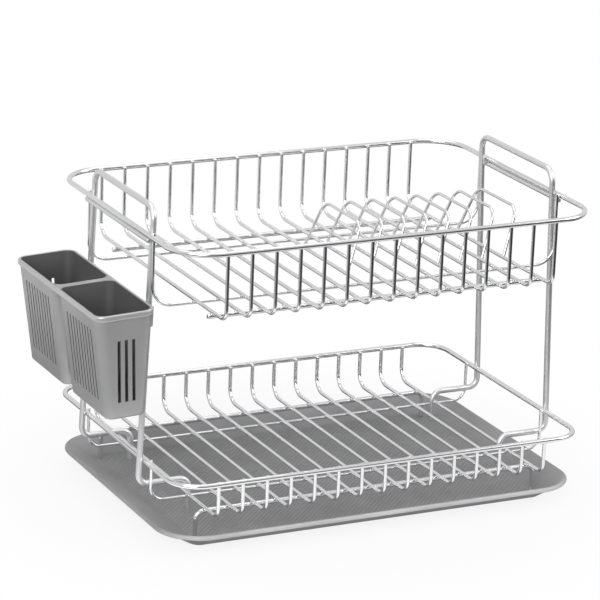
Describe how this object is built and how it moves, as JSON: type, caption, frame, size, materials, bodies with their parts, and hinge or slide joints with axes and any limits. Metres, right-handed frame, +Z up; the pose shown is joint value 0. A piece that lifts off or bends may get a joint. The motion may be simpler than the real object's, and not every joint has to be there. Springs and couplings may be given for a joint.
{
  "type": "dish drying rack",
  "caption": "Two-tier chromed-wire dish drying rack with a lift-off upper rack, leaning divider loops, a drip tray and a clip-on utensil caddy.",
  "frame": {"origin": "centre of the drip tray's flat underside", "axes": "+Z up, +X to the right along the racks with the caddy at -X, -Y towards the front"},
  "size_m": [0.5129, 0.318, 0.3258],
  "materials": {
    "chromed_wire": "bright chrome plating",
    "tray_plastic": "satin moulded plastic",
    "caddy_plastic": "satin moulded plastic"
  },
  "bodies": {
    "tray": {"drip_tray": "tray_plastic"},
    "lower_rack": {"lower_rim": "chromed_wire", "lower_cross_wire_01": "chromed_wire", "lower_cross_wire_02": "chromed_wire", "lower_cross_wire_03": "chromed_wire", "lower_cross_wire_04": "chromed_wire", "lower_cross_wire_05": "chromed_wire", "lower_cross_wire_06": "chromed_wire", "lower_cross_wire_07": "chromed_wire", "lower_cross_wire_08": "chromed_wire", "lower_cross_wire_09": "chromed_wire", "lower_cross_wire_10": "chromed_wire", "lower_cross_wire_11": "chromed_wire", "lower_cross_wire_12": "chromed_wire", "lower_cross_wire_13": "chromed_wire", "lower_cross_wire_14": "chromed_wire", "lower_cross_wire_15": "chromed_wire", "lower_front_rail": "chromed_wire", "lower_back_rail": "chromed_wire", "lower_front_tie": "chromed_wire", "lower_back_tie": "chromed_wire", "left_support": "chromed_wire", "right_support": "chromed_wire", "left_crossbar": "chromed_wire", "right_crossbar": "chromed_wire"},
    "upper_rack": {"upper_rim": "chromed_wire", "upper_cross_wire_01": "chromed_wire", "upper_cross_wire_02": "chromed_wire", "upper_cross_wire_03": "chromed_wire", "upper_cross_wire_04": "chromed_wire", "upper_cross_wire_05": "chromed_wire", "upper_cross_wire_06": "chromed_wire", "upper_cross_wire_07": "chromed_wire", "upper_cross_wire_08": "chromed_wire", "upper_cross_wire_09": "chromed_wire", "upper_cross_wire_10": "chromed_wire", "upper_cross_wire_11": "chromed_wire", "upper_cross_wire_12": "chromed_wire", "upper_cross_wire_13": "chromed_wire", "upper_cross_wire_14": "chromed_wire", "upper_cross_wire_15": "chromed_wire", "upper_front_rail": "chromed_wire", "upper_back_rail": "chromed_wire", "upper_front_tie": "chromed_wire", "upper_back_tie": "chromed_wire", "divider_01": "chromed_wire", "divider_02": "chromed_wire", "divider_03": "chromed_wire", "divider_04": "chromed_wire", "divider_05": "chromed_wire", "divider_06": "chromed_wire", "divider_07": "chromed_wire", "divider_08": "chromed_wire"},
    "caddy": {"caddy": "caddy_plastic"}
  },
  "joints": [
    {"name": "lower_rack_lift", "type": "slide", "parent": "tray", "child": "lower_rack", "axis": [0, 0, 1], "range_m": [0, 0.06]},
    {"name": "upper_rack_lift", "type": "slide", "parent": "lower_rack", "child": "upper_rack", "axis": [0, 0, 1], "range_m": [0, 0.12]},
    {"name": "caddy_slide", "type": "slide", "parent": "lower_rack", "child": "caddy", "axis": [0.0371, 0, 0.9993], "range_m": [0, 0.045]}
  ]
}
